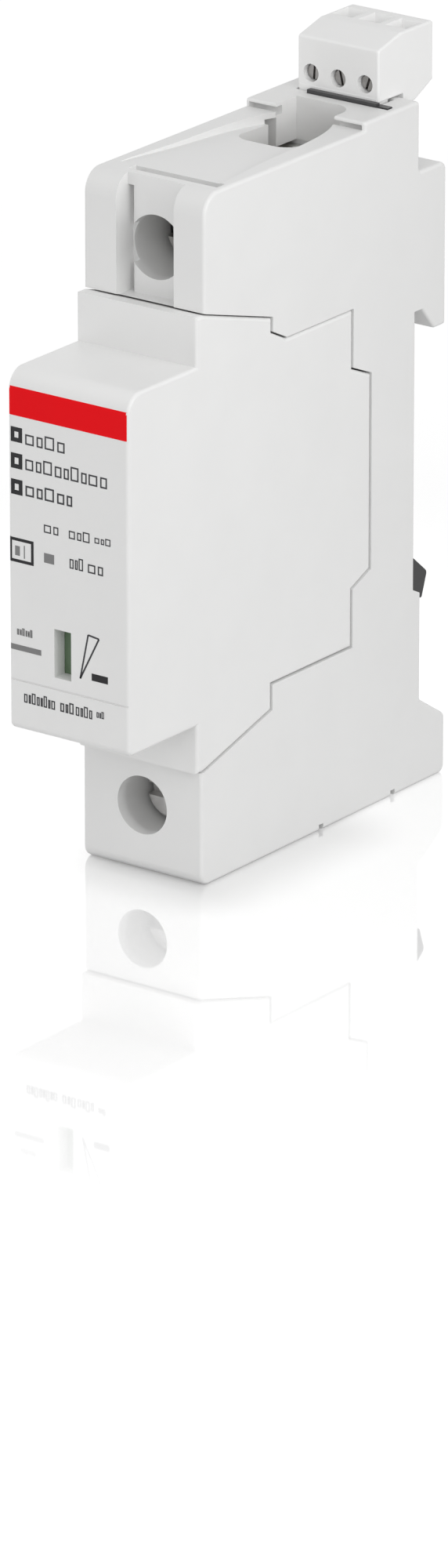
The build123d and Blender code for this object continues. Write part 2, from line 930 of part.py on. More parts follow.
def signal_switch():
    """The switch block, stepped to clear the busbar, with a hole for the plunger's nose."""
    gap = 0.1
    front = chamber_back + partition
    half = opening_half_width - gap
    body = block(
        -half, half, front + gap, switch_back - gap, slope_floor + 0.3 + gap, switch_top - gap
    )
    body += block(
        -half, half, switch_front + gap, switch_back - gap, switch_floor + gap, switch_top - gap
    )
    body += block(
        -half, inner_right - gap, switch_front + gap, switch_back - gap,
        switch_floor + gap, slope_floor + 0.4 - gap,
    )
    half_hole = plunger_width / 2 + loose
    hole_end = switch_front + plunger_entry + 2 * plunger_reach
    body -= block(
        plunger_x - half_hole, plunger_x + half_hole, switch_front - 1, hole_end,
        switch_floor + 0.3, switch_floor + 0.3 + plunger_width + 2 * loose,
    )
    for k in (-1, 0, 1):
        body -= pin_hole(k, switch_top - 3.0, switch_top + 1)
    return body


def pin_hole(k, z0, z1):
    half = pin_size / 2 + 0.02
    x = k * pin_pitch
    return block(x - half, x + half, pin_y - half, pin_y + half, z0, z1)


def header_pins():
    pins = Part()
    half = pin_size / 2
    for k in (-1, 0, 1):
        x = k * pin_pitch
        pin = block(
            x - half, x + half, pin_y - half, pin_y + half, switch_top - 2.95, header_top + 0.4
        )
        pins += chamfer(pin.faces().sort_by(Axis.Z)[-1].edges(), 0.2)
    return pins


def signal_header():
    """A shroud whose floor carries the pins and whose walls guide the plug's tongue."""
    gap = header_gap
    front = chamber_back + partition + gap
    back = -(wall - top_back) - gap
    half = opening_half_width - gap
    body = block(-half, half, front, back, switch_top + gap, header_top)
    body -= block(
        -plug_half + 0.2, plug_half - 0.2,
        tongue_front_y - gap, tongue_back_y + gap, header_floor, header_top + 1,
    )
    for k in (-1, 0, 1):
        body -= pin_hole(k, switch_top - 1, header_floor + 1)
    lip = block(
        -header_lip_left, half, front, tongue_front_y - gap,
        header_top - 0.1, plug_bottom + header_lip_rise,
    )
    ear = block(
        half - 0.2, pry_notch - gap, front + gap, -opening_front + 1.2 - gap,
        case_top - 0.6 + gap, plate_top + loose,
    )
    return body + lip + ear


def switch_plunger():
    """A square stem with a raised rear arm whose nose enters the switch."""
    half = plunger_width / 2
    rear = busbar_back - 0.3
    stem = block(
        plunger_x - half, plunger_x + half, -waist_back - plunger_reach, rear,
        blade_z - half, blade_z + half,
    )
    riser = block(
        plunger_x - half, plunger_x + half, rear - 1.2, rear,
        blade_z - half, switch_floor + 0.45 + plunger_width,
    )
    nose = block(
        plunger_x - half, plunger_x + half, rear - 0.5, switch_front + plunger_entry,
        switch_floor + 0.45, switch_floor + 0.45 + plunger_width,
    )
    return stem + riser + nose


def plug_housing():
    """The plug's shell: brow, funnels on top, screw holes in front and a tongue below."""
    shell = prism(
        profile(
            (-plug_front, plug_bottom),
            (-plug_front, plug_brow, 0.4),
            (-plug_front + plug_brow_depth, plug_top, 0.6),
            (plug_back, plug_top, 0.4),
            (plug_back, plug_heel, 0.3),
            (plug_heel_front, plug_bottom - plug_heel_drop, 0.3),
            (top_back + 0.5, plug_bottom - plug_heel_drop),
            (top_back + 0.5, plug_bottom),
        ),
        -plug_half, plug_half,
    )
    shell = fillet(shell.faces().sort_by(Axis.X)[-1].edges().filter_by(lambda edge: edge.length > 2), 0.3)
    shell = fillet(shell.faces().sort_by(Axis.X)[0].edges().filter_by(lambda edge: edge.length > 2), 0.3)
    shell += block(
        -plug_half + 0.3, plug_half - 0.3, tongue_front_y,
        tongue_back_y, tongue_low, plug_bottom + 0.5,
    )
    for k in (-1, 0, 1):
        shell -= Pos(k * pin_pitch, 0, 0) * plug_pole_cuts()
    return shell


def clamp_low():
    return link_low() + contact_thickness + loose


def clamp_high():
    return plug_screw_z + plug_screw_radius + 0.6


def link_low():
    """The underside of the contact's link, on the floor inside the plug."""
    return plug_bottom + 0.3


def clamp_front():
    return -plug_front + plug_screw_length - clamp_nut - 0.9


def clamp_back():
    return plug_back - 1.0


def plug_pole_cuts():
    """One pole's room for its clamp, screw, funnel and contact."""
    half = clamp_width / 2 + 0.12
    room = block(
        -half, half, clamp_front() - clamp_travel - 0.2, clamp_back() + 0.15,
        clamp_low() - 0.15, clamp_high() + 0.15,
    )
    hole = rod(plug_hole_radius, -plug_front - 1, clamp_front(), z=plug_screw_z)
    throat = Pos(0, funnel_y, clamp_high()) * Box(
        funnel_neck, funnel_neck, plug_top - clamp_high() + 2,
        align=(Align.CENTER, Align.CENTER, Align.MIN),
    )
    mouth = loft([
        Pos(0, funnel_y, plug_top - 1.1) * Rectangle(funnel_neck, funnel_neck),
        Pos(0, funnel_y, plug_top + 0.1) * Rectangle(funnel_size + 0.4, funnel_size + 0.8),
    ])
    lane = block(
        -1.0, 1.0, pin_y - 0.85, contact_y() + contact_thickness + loose,
        link_low() - running, clamp_low(),
    )
    socket = block(-0.85, 0.85, pin_y - 0.85, pin_y + 0.85, tongue_low - 1, clamp_low())
    return room + hole + throat + mouth + lane + socket


def contact_y():
    """The front face of the contact's tongue, just behind the screw's tip."""
    return -plug_front + plug_screw_length + running


def plug_contact():
    """One bent contact: a square sleeve on the pin, a link and a tongue inside the clamp."""
    thick = contact_thickness
    inner = pin_size / 2 + 0.04
    outer = inner + 0.25
    low = tongue_low + 0.3
    base = link_low()
    sleeve = block(-outer, outer, pin_y - outer, pin_y + outer, low, base + thick)
    sleeve -= block(-inner, inner, pin_y - inner, pin_y + inner, low - 1, base)
    link = block(-outer, outer, pin_y - outer, contact_y() + thick, base, base + thick)
    tongue = block(-outer, outer, contact_y(), contact_y() + thick, base, clamp_high() - 0.4)
    return sleeve + link + tongue


def plug_contacts():
    group = Part()
    for k in (-1, 0, 1):
        group += Pos(k * pin_pitch, 0, 0) * plug_contact()
    return group


def plug_screw(turn):
    """A slotted grub screw, its slot turned from upright by an angle in degrees."""
    bar = rod(plug_screw_radius, -plug_front + 0.7, -plug_front + plug_screw_length)
    slot = block(-0.16, 0.16, -plug_front, -plug_front + 1.3, -2, 2)
    return Pos(0, 0, plug_screw_z) * Rot(0, turn, 0) * (bar - slot)


def plug_clamp():
    """A small cage round the contact's tongue, with a thick front wall for the screw."""
    half = clamp_width / 2
    cage = block(-half, half, clamp_front(), clamp_back(), clamp_low(), clamp_high())
    cage -= block(
        -half + clamp_wall, half - clamp_wall, clamp_front() + clamp_nut,
        clamp_back() - clamp_wall, clamp_low() - 1, clamp_high() + 1,
    )
    bore = plug_screw_radius + running
    return cage - rod(bore, clamp_front() - 1, clamp_front() + clamp_nut + 0.2, z=plug_screw_z)


def rail_latch():
    """The sliding foot: a plate with side wings, a ramped lip and a slotted tail."""
    front = -0.9
    back = front + latch_thickness
    top = -hook_apex - 0.5
    plate_face = profile(
        (front, top),
        (hook_gap - 0.05, top),
        (hook_gap - 0.05, -hook_lip - 0.5, 0.1),
        (hook_gap + 0.8, -hook_lip - 0.2),
        (hook_tip + 0.2, -hook_lip - 0.4, 0.8),
        (latch_lip_back, top, 0.6),
        (latch_lip_back - 1.1, -latch_lip_bottom, 0.3),
        (back, -hook_apex - 1.9),
        (back, -latch_tail),
        (front, -latch_tail),
    )
    latch = prism(plate_face, -latch_half_width, latch_half_width)
    latch += block(
        -latch_half_width - latch_wing, latch_half_width + latch_wing, front, 0.2,
        -latch_tail + 3, top - 1.2,
    )
    latch -= block(
        -window_half_width, window_half_width, front - 1, back + 1,
        -latch_window_top - latch_window_height, -latch_window_top,
    )
    latch -= block(-2.5, 2.5, front - 1, back + 1, -latch_tail + 1.0, -latch_tail + 2.2)
    return latch


def build():
    """Every node by name."""
    tower, spine, foot = base_parts()
    nodes = {
        "base_tower": tower,
        "base_spine": spine,
        "base_foot": foot,
        "base_cover": base_cover(),
        "upper_busbar": busbar(),
        "lower_busbar": lower(busbar()),
        "upper_contact_spring": contact_spring(),
        "lower_contact_spring": lower(contact_spring()),
        "signal_switch": signal_switch(),
        "signal_header": signal_header(),
        "header_pins": header_pins(),
        "latch_spring": latch_spring(),
        "rail_latch": rail_latch(),
        "upper_terminal_screw": terminal_screw(head_length),
        "lower_terminal_screw": lower(terminal_screw(lower_head_length)),
        "upper_terminal_cage": terminal_cage(),
        "lower_terminal_cage": lower(terminal_cage()),
        "switch_plunger": switch_plunger(),
        "cartridge_housing": cartridge_housing(),
        "cartridge_back": cartridge_back(),
        "varistor_block": varistor_block(),
        "upper_blade": upper_blade(),
        "lower_blade": lower_blade(),
        "thermal_solder": thermal_solder(),
        "disconnect_arm": disconnect_arm(),
        "disconnect_spring": disconnect_spring(),
        "indicator_flag": indicator_flag(),
        "plug_housing": plug_housing(),
        "plug_contacts": plug_contacts(),
    }
    for number, (k, turn) in enumerate(((-1, 4), (0, -14), (1, 18)), start=1):
        nodes[f"plug_screw_{number}"] = Pos(k * pin_pitch, 0, 0) * plug_screw(turn)
        nodes[f"plug_clamp_{number}"] = Pos(k * pin_pitch, 0, 0) * plug_clamp()
    return nodes


os.makedirs("parts", exist_ok=True)
for name, shape in build().items():
    export_step(shape, f"parts/{name}.step")
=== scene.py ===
import bpy
import math
import numpy as np
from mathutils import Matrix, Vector


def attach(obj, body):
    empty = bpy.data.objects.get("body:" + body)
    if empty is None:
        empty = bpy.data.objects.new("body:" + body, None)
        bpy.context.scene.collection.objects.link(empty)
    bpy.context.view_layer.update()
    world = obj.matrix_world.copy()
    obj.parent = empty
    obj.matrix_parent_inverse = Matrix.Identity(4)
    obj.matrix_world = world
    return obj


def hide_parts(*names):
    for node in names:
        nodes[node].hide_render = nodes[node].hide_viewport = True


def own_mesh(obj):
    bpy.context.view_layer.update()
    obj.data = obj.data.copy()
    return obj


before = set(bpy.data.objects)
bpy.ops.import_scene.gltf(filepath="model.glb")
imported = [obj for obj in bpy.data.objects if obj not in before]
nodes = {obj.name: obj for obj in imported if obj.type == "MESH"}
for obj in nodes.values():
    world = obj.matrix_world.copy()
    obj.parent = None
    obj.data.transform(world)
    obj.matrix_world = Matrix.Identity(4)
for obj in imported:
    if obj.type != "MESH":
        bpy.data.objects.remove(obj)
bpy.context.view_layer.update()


# Base: the tower, spine and foot of one moulding, closed on the left by a flat cover.
# Glass-filled polyamide, injection moulded in pale grey with a fine spark-eroded grain,
# and pegged together before the terminals are tightened.
noise_span = (0.3, 0.7)
patches_per_metre = 160
grain_per_metre = 9000
plastic_gloss_drift = (-0.04, 0.04)


def node_of(tree, kind, **settings):
    """A shader node with its properties set by name."""
    node = tree.nodes.new(kind)
    for key, value in settings.items():
        setattr(node, key, value)
    return node


def surface_place(tree, centre=(0, 0, 0), stretch=(1, 1, 1)):
    """Object coordinates, moved to a centre and stretched along the axes. A pattern on them stays
    where it is when the piece moves."""
    place = node_of(tree, "ShaderNodeTexCoord")
    shift = node_of(tree, "ShaderNodeMapping")
    shift.inputs["Location"].default_value = [-c * s for c, s in zip(centre, stretch)]
    shift.inputs["Scale"].default_value = stretch
    tree.links.new(place.outputs["Object"], shift.inputs["Vector"])
    return shift.outputs["Vector"]


def speckle(tree, place, per_metre, detail=2.0):
    """A smooth noise between 0 and 1 with so many waves to the metre."""
    noise = node_of(tree, "ShaderNodeTexNoise")
    noise.inputs["Scale"].default_value = per_metre
    noise.inputs["Detail"].default_value = detail
    tree.links.new(place, noise.inputs["Vector"])
    return noise.outputs["Fac"]


def ranged(tree, value, first, last, low, high, interpolation="LINEAR"):
    """A number that runs from low to high as the value runs from first to last."""
    span = node_of(tree, "ShaderNodeMapRange", interpolation_type=interpolation)
    span.inputs["From Min"].default_value = first
    span.inputs["From Max"].default_value = last
    span.inputs["To Min"].default_value = low
    span.inputs["To Max"].default_value = high
    tree.links.new(value, span.inputs["Value"])
    return span.outputs["Result"]


def blended(tree, share, first, second):
    """A colour that runs from the first to the second."""
    blend = node_of(tree, "ShaderNodeMix", data_type="RGBA")
    blend.inputs["A"].default_value = (*first, 1)
    blend.inputs["B"].default_value = (*second, 1)
    tree.links.new(share, blend.inputs["Factor"])
    return blend.outputs["Result"]


def raised(tree, height, depth):
    """A bump of so many metres where the height is 1."""
    bump = node_of(tree, "ShaderNodeBump")
    bump.inputs["Distance"].default_value = depth
    bump.inputs["Strength"].default_value = 1.0
    tree.links.new(height, bump.inputs["Height"])
    return bump.outputs["Normal"]


def new_material(name, metallic=0.0):
    """A material with its node tree and its main shader."""
    material = bpy.data.materials.new(name)
    material.use_nodes = True
    shader = material.node_tree.nodes["Principled BSDF"]
    shader.inputs["Metallic"].default_value = metallic
    return material, material.node_tree, shader


def dress(tree, shader, tint, roughness, normal):
    """Link a tint, a roughness and a skin to the main shader."""
    tree.links.new(tint, shader.inputs["Base Color"])
    tree.links.new(roughness, shader.inputs["Roughness"])
    tree.links.new(normal, shader.inputs["Normal"])


def gloss_drift(tree, noise, roughness, drift):
    """A roughness that drifts with a noise, by so much down and up."""
    return ranged(tree, noise, *noise_span, roughness + drift[0], roughness + drift[1])


def moulded_plastic(name, tint, roughness=0.42, drift=0.02, grain=0.000006):
    """Moulded plastic: its tint and gloss drift a little in patches some 6 mm wide, and a grain
    of 0.1 mm stands on its skin."""
    plastic, tree, shader = new_material(name)
    place = surface_place(tree)
    patches = speckle(tree, place, patches_per_metre)
    darker = [c * (1 - drift) for c in tint]
    lighter = [min(1, c * (1 + drift)) for c in tint]
    dress(
        tree, shader, blended(tree, patches, darker, lighter),
        gloss_drift(tree, patches, roughness, plastic_gloss_drift),
        raised(tree, speckle(tree, place, grain_per_metre, detail=3), grain),
    )
    return plastic


def finish_nodes(names, material):
    """The carried-over solids of these names get this material on every slot."""
    for name in names:
        slots = nodes[name].data.materials
        slots.clear()
        slots.append(material)


case_plastic = moulded_plastic("case_plastic", (0.80, 0.80, 0.795))
finish_nodes(("base_tower", "base_spine", "base_foot", "base_cover"), case_plastic)


# Busbars, plug blades and clip springs: strip stamped and bent, then tin or nickel plated.
# The busbars and blades are brass, the clips spring steel, with the roll's grain along the strip.
streaks_per_metre = 600
streak_depth = 0.000008
streak_shade = 0.86
metal_gloss_drift = (-0.06, 0.08)


def stamped_metal(name, tint, roughness, stretch=(40, 1, 1)):
    """Rolled strip: fine streaks that run across the stretched axis change the tint, the gloss and
    the skin together."""
    metal, tree, shader = new_material(name, metallic=1.0)
    place = surface_place(tree, stretch=stretch)
    streaks = speckle(tree, place, streaks_per_metre, detail=4)
    darker = [c * streak_shade for c in tint]
    dress(
        tree, shader, blended(tree, streaks, darker, tint),
        gloss_drift(tree, streaks, roughness, metal_gloss_drift),
        raised(tree, streaks, streak_depth),
    )
    return metal


busbar_metal = stamped_metal("busbar_metal", (0.78, 0.70, 0.56), roughness=0.32)
contact_metal = stamped_metal(
    "contact_metal", (0.80, 0.66, 0.42), roughness=0.30, stretch=(1, 1, 30)
)
spring_metal = stamped_metal(
    "spring_metal", (0.62, 0.62, 0.61), roughness=0.25, stretch=(20, 20, 1)
)
finish_nodes(("upper_busbar", "lower_busbar", "upper_blade", "lower_blade"), busbar_metal)
finish_nodes(("header_pins", "plug_contacts", "disconnect_arm"), contact_metal)
finish_nodes(("upper_contact_spring", "lower_contact_spring"), spring_metal)


def sliding_coil(node, name, body):
    """A copy of a spring's solid with its own mesh, in spring metal, that rides with a body in
    place of the spring, which is hidden.
    """
    coil = bpy.data.objects.new(name, nodes[node].data.copy())
    bpy.context.scene.collection.objects.link(coil)
    coil.data.materials.clear()
    coil.data.materials.append(spring_metal)
    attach(coil, body)
    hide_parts(node)
    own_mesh(coil)


sliding_coil("latch_spring", "latch_coil", "base")
sliding_coil("disconnect_spring", "flag_coil", "cartridge")


# Signal switch, its header and the square plunger that reaches through to the cartridge.
# Black glass-filled plastic, moulded separately and dropped into the base before the cover goes on.
inner_plastic = moulded_plastic(
    "inner_plastic", (0.045, 0.045, 0.047), roughness=0.38, drift=0.1
)
finish_nodes(("signal_switch", "signal_header", "switch_plunger"), inner_plastic)


# Terminal screws and cages: steel, zinc plated. The screws are cold headed, slotted and rolled
# with a 0.8 mm thread; the cages are folded from thick strip with a tapped front wall.
terminal_height = 0.0347
terminal_pitch = 0.0008
terminal_shank = -0.032
stains_per_metre = 900
stain_shade = 0.7


def feed(tree, socket, value):
    """Link another node's output to this input, or set a plain value on it."""
    if isinstance(value, bpy.types.NodeSocket):
        tree.links.new(value, socket)
    else:
        socket.default_value = value


def calculated(tree, operation, *operands):
    """The result of a Math node on other nodes' outputs and plain numbers."""
    step = node_of(tree, "ShaderNodeMath", operation=operation)
    for socket, operand in zip(step.inputs, operands):
        feed(tree, socket, operand)
    return step.outputs["Value"]


def along_axes(tree, place):
    """The X, Y and Z of a place, by name."""
    parts = node_of(tree, "ShaderNodeSeparateXYZ")
    tree.links.new(place, parts.inputs["Vector"])
    return parts.outputs


def threaded_steel(name, tint, roughness, axis_xz, pitch, shank_y):
    """Plated steel with a thread on the part behind shank_y: the height is a triangle wave of the
    length along Y plus the angle round the screw's axis, one wave to a pitch."""
    steel, tree, shader = new_material(name, metallic=1.0)
    place = surface_place(tree, (axis_xz[0], shank_y, axis_xz[1]))
    parts = along_axes(tree, place)
    angle = calculated(tree, "ARCTAN2", parts["X"], parts["Z"])
    turns = calculated(tree, "MULTIPLY", angle, 1 / (2 * math.pi))
    waves = calculated(tree, "MULTIPLY_ADD", parts["Y"], 1 / pitch, turns)
    ridge = calculated(tree, "PINGPONG", waves, 0.5)
    on_shank = calculated(tree, "GREATER_THAN", parts["Y"], 0.0)
    stains = speckle(tree, place, stains_per_metre, detail=3)
    darker = [c * stain_shade for c in tint]
    dress(
        tree, shader, blended(tree, stains, darker, tint),
        gloss_drift(tree, stains, roughness, metal_gloss_drift),
        raised(tree, calculated(tree, "MULTIPLY", ridge, on_shank), pitch),
    )
    return steel


# The upper screw's darker tint is painted shade; both screws are the same plated steel.
for level, axis_z, tint in (
    ("upper", terminal_height, (0.62, 0.61, 0.59)),
    ("lower", -terminal_height, (0.80, 0.79, 0.78)),
):
    screw_steel = threaded_steel(
        level + "_screw_steel", tint, roughness=0.42,
        axis_xz=(0, axis_z), pitch=terminal_pitch, shank_y=terminal_shank,
    )
    finish_nodes((level + "_terminal_screw",), screw_steel)
cage_steel = stamped_metal(
    "cage_steel", (0.66, 0.66, 0.64), roughness=0.34, stretch=(1, 1, 20)
)
finish_nodes(("upper_terminal_cage", "lower_terminal_cage"), cage_steel)


# Rail latch: the sliding foot with its ramped lip, black nylon, matt from the mould and a little
# polished where it rubs on the rail. It slides in a channel at the back of the base.
latch_plastic = moulded_plastic(
    "latch_plastic", (0.035, 0.035, 0.036), roughness=0.46, drift=0.15
)
finish_nodes(("rail_latch",), latch_plastic)


# Cartridge: a hood of the same pale plastic, a shade lighter than the base, with the rear plate
# welded in. It pulls out to the front, and its narrow front face carries the print.
cartridge_plastic = moulded_plastic("cartridge_plastic", (0.815, 0.815, 0.81), roughness=0.40)
finish_nodes(("cartridge_housing", "cartridge_back"), cartridge_plastic)


# Red band across the top of the cartridge's front face: pad-printed ink in one plain field.
# It covers nearly the whole width, and goes a little round the face's upright and top edges.
# Its field is in millimetres, and the other lengths are in metres.
nose_front = -0.058
nose_half_width = 0.0089
side_round = 0.0005
top_round_start = 0.0199
top_round = 0.0026
round_share = 0.98
red_field = (-8.88, 8.66, 16.93, 20.5)
ink_thickness = 0.00002
ink_solid_share = 0.8
widest_cell = 0.00015
single_patch_rows = 24
small_patch_rows = 2


def nose_depth(x, z):
    """Y of the front face: flat, with a quarter circle at each side and one at the top. The round
    share stops each circle short of its upright end."""
    past_side = np.clip(np.abs(x) - (nose_half_width - side_round), 0, side_round * round_share)
    past_top = np.clip(z - top_round_start, 0, top_round * round_share)
    round_side = side_round - np.sqrt(side_round**2 - past_side**2)
    round_top = top_round - np.sqrt(top_round**2 - past_top**2)
    return nose_front + round_side + round_top


def bar(x0, x1, z0, z1):
    """The four corners of an upright bar, in millimetres."""
    return [(x0, z0), (x1, z0), (x1, z1), (x0, z1)]


def solid_sheet(name, points, quads):
    """A mesh of these quads, made solid inwards by a little less than the ink's thickness."""
    mesh = bpy.data.meshes.new(name)
    mesh.from_pydata(points.tolist(), [], quads.tolist())
    mesh.update()
    sheet = bpy.data.objects.new(name, mesh)
    bpy.context.scene.collection.objects.link(sheet)
    wall = sheet.modifiers.new("thickness", "SOLIDIFY")
    wall.thickness = ink_thickness * ink_solid_share
    wall.offset = -1
    return sheet


def ink_patches(name, patches):
    """Patches of ink on the front face, each given by its four corners in millimetres. It is a
    grid between them, laid on the face by nose_depth and lifted off it by the ink's thickness. A
    patch alone gets more rows, because it goes round the face's top edge."""
    corners = np.array(patches, float) / 1000
    widest = np.abs(corners[:, :, 0].max(axis=1) - corners[:, :, 0].min(axis=1)).max()
    across = int(widest / widest_cell) + 2
    up = single_patch_rows if len(patches) == 1 else small_patch_rows
    u = np.linspace(0, 1, across + 1)[None, None, :, None]
    v = np.linspace(0, 1, up + 1)[None, :, None, None]
    low = corners[:, None, None, 0] * (1 - u) + corners[:, None, None, 1] * u
    high = corners[:, None, None, 3] * (1 - u) + corners[:, None, None, 2] * u
    flat = low * (1 - v) + high * v
    x, z = flat[..., 0], flat[..., 1]
    points = np.stack([x, nose_depth(x, z) - ink_thickness, z], axis=-1).reshape(-1, 3)
    corner = (np.arange(up)[:, None] * (across + 1) + np.arange(across)[None, :]).ravel()
    quads = np.stack([corner, corner + 1, corner + across + 2, corner + across + 1], axis=-1)
    patch = np.arange(len(corners))[:, None, None] * (across + 1) * (up + 1)
    return solid_sheet(name, points, (quads[None] + patch).reshape(-1, 4))


def ink(name, tint, roughness=0.35, shine=0.2):
    """Printed ink: its tint drifts by a few hundredths and its skin by 0.002 mm."""
    layer = moulded_plastic(name, tint, roughness, drift=0.04, grain=0.000002)
    layer.node_tree.nodes["Principled BSDF"].inputs["Specular IOR Level"].default_value = shine
    return layer


def printed(piece, material):
    """A print on the cartridge's front rides with the cartridge."""
    piece.data.materials.append(material)
    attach(piece, "cartridge")


red_ink = ink("red_ink", (0.86, 0.005, 0.010), roughness=0.45, shine=0.06)
printed(ink_patches("red_band", [bar(*red_field)]), red_ink)


# Print under the band: rows of open squares, with a heavy square at the start of the three long
# rows and a ruled one beside the middle rows. Right of the window is a triangle over a short bar.
# Black and grey pad-printed ink. The sizes are in millimetres on the face.
square_widths = (1.0, 0.7, 1.1, 0.85, 0.65)
square_rises = (0, 0, 0.25, 0, 0, 0.3, 0)
square_gap = 0.25


def stroke(start, end, width):
    """The four corners of a straight stroke of this width between two points."""
    along = np.array(end, float) - start
    side = np.array([-along[1], along[0]]) * width / 2 / np.linalg.norm(along)
    return [tuple(c) for c in (start - side, end - side, end + side, start + side)]


def open_square(x0, x1, z0, z1, rule):
    """Four bars round a rectangle, each as wide as the rule."""
    return [
        bar(x0, x1, z0, z0 + rule), bar(x0, x1, z1 - rule, z1),
        bar(x0, x0 + rule, z0 + rule, z1 - rule), bar(x1 - rule, x1, z0 + rule, z1 - rule),
    ]


def row_of_squares(x0, x1, z0, z1, count, rule):
    """Open squares side by side, whose widths and tops vary in a fixed rhythm. A share of each
    one's pitch is the gap after it."""
    shares = np.resize(square_widths, count)
    pitches = shares * (x1 - x0) / shares.sum()
    ends = x0 + np.cumsum(pitches)
    tops = z1 + (z1 - z0) * np.resize(square_rises, count)
    bars = []
    for end, pitch, top in zip(ends, pitches, tops):
        bars += open_square(end - pitch, end - pitch * square_gap, z0, top, rule)
    return bars


fine_rows = (
    (-6.3, -0.1, 13.6, 14.9, 4, 0.2),
    (-6.3, 6.1, 10.45, 11.8, 9, 0.2),
    (-6.3, 0.9, 7.2, 8.5, 5, 0.22),
    (-3.6, -1.2, 3.2, 4.2, 2, 0.16),
    (0.1, 3.5, 3.2, 4.2, 3, 0.16),
    (3.9, 6.5, 3.4, 4.1, 3, 0.14),
    (0.2, 2.4, -0.5, 0.7, 3, 0.16),
    (2.9, 5.4, -0.5, 0.6, 2, 0.18),
    (-6.7, -1.9, -18.8, -17.7, 8, 0.16),
    (-1.3, 0.9, -18.8, -17.7, 3, 0.18),
    (1.0, 3.6, -18.8, -17.7, 4, 0.16),
    (4.1, 5.3, -18.4, -17.7, 3, 0.12),
)
triangle = ((1.7, -14.0), (2.9, -8.3), (4.5, -8.5))
triangle_rule = 0.22
heavy_rule = 0.55
black_print = (
    open_square(-8.45, -6.75, 13.65, 15.5, heavy_rule)
    + open_square(-8.45, -6.75, 10.35, 12.25, heavy_rule)
    + open_square(-8.45, -6.75, 7.1, 9.0, heavy_rule)
    + open_square(-8.75, -5.15, -1.35, 1.7, 0.38)
    + [bar(3.4, 5.8, -13.9, -13.0)]
)
fine_print = [square for row in fine_rows for square in row_of_squares(*row)]
for corner, following in zip(triangle, triangle[1:] + triangle[:1]):
    fine_print.append(stroke(corner, following, triangle_rule))
grey_print = row_of_squares(-7.7, -5.3, -10.45, -9.7, 6, 0.16) + [
    bar(-8.7, -4.1, -12.4, -11.7),
    bar(-3.6, -2.1, -0.55, 0.65),
    bar(-7.9, -7.2, -0.5, 0.7),
    bar(-6.6, -6.45, -0.7, 0.9),
]
printed(ink_patches("black_print", black_print), ink("black_ink", (0.018, 0.018, 0.02)))
printed(ink_patches("fine_print", fine_print), ink("dark_ink", (0.05, 0.05, 0.055)))
printed(ink_patches("grey_print", grey_print), ink("grey_ink", (0.22, 0.22, 0.22)))


# Varistor and disconnector: a disc pack dipped in blue resin, with the arm soldered to its side.
# When the solder lets go, the arm swings and lifts the flag.
varistor_resin = moulded_plastic(
    "varistor_resin", (0.05, 0.13, 0.33), roughness=0.28, drift=0.12, grain=0.00002
)
finish_nodes(("varistor_block",), varistor_resin)
solder_metal = stamped_metal(
    "solder_metal", (0.72, 0.72, 0.74), roughness=0.4, stretch=(1, 1, 1)
)
finish_nodes(("thermal_solder",), solder_metal)


# Status flag: a sliding plate, moulded green and printed red below the part that the window shows.
# It rises by one window height when the arm swings.
flag_green = (0.13, 0.20, 0.12)
flag_red = (0.60, 0.02, 0.02)
flag_boundary = -0.01472


def two_tone_plastic(name, upper_tint, lower_tint, boundary_z):
    """One tint above a level and the other below it, with the skin of the other mouldings."""
    plastic = moulded_plastic(name, upper_tint, roughness=0.45)
    tree = plastic.node_tree
    height = along_axes(tree, surface_place(tree))["Z"]
    above = calculated(tree, "GREATER_THAN", height, boundary_z)
    tint = blended(tree, above, lower_tint, upper_tint)
    tree.links.new(tint, tree.nodes["Principled BSDF"].inputs["Base Color"])
    return plastic


flag_plastic = two_tone_plastic("flag_plastic", flag_green, flag_red, flag_boundary)
finish_nodes(("indicator_flag",), flag_plastic)


# Signalling plug: a pale housing that lifts off its header, with three slotted screws that draw
# up three small cages on the contacts. The screws are zinc-plated steel in a dark grey tint.
plug_pole_places = (-0.004, 0.0, 0.004)
plug_screw_height = 0.0466
plug_screw_pitch = 0.00045
plug_screw_shank = -0.0022
plug_plastic = moulded_plastic("plug_plastic", (0.87, 0.87, 0.865), roughness=0.40)
finish_nodes(("plug_housing",), plug_plastic)
for number, x in enumerate(plug_pole_places, 1):
    small_steel = threaded_steel(
        f"plug_screw_steel_{number}", (0.40, 0.39, 0.38), roughness=0.36,
        axis_xz=(x, plug_screw_height), pitch=plug_screw_pitch, shank_y=plug_screw_shank,
    )
    finish_nodes((f"plug_screw_{number}",), small_steel)
finish_nodes(("plug_clamp_1", "plug_clamp_2", "plug_clamp_3"), cage_steel)


# Floor: a polished white sheet that mirrors the object near it and fades to plain white, with a
# soft painted shade round the foot's front and right edges that darkens its glow and its paper.
# It isn't part of the object. Each fade gives two distances in metres and the values at them.
floor_z = -0.0433
floor_reach = 3
object_middle = (0, -0.02, floor_z)
# The rectangle that the painted shade round the foot fades out from, and its half size.
foot_middle = (0.003, -0.0318, floor_z)
foot_half_size = (0.006, 0.0118, 0)
near_glow_fade = (0.03, 0.13, 0.76, 0.385)
far_glow_fade = (0.15, 0.50, 0.0, 0.15)
foot_shade_fade = (0.0, 0.012, 0.7, 1.0)
mirror_fade = (0.03, 0.20, 0.6, 0.0)
mirror_roughness = 0.03
mirrored_share = 0.5
paper_unseen = (0.5, 0.5, 0.5)
paper_seen = (0.9, 0.9, 0.9)
floor_mesh = bpy.data.meshes.new("floor")
floor_mesh.from_pydata(
    [
        (-floor_reach, -floor_reach, floor_z), (floor_reach, -floor_reach, floor_z),
        (floor_reach, floor_reach, floor_z), (-floor_reach, floor_reach, floor_z),
    ],
    [],
    [(0, 1, 2, 3)],
)
floor = bpy.data.objects.new("floor", floor_mesh)
bpy.context.scene.collection.objects.link(floor)


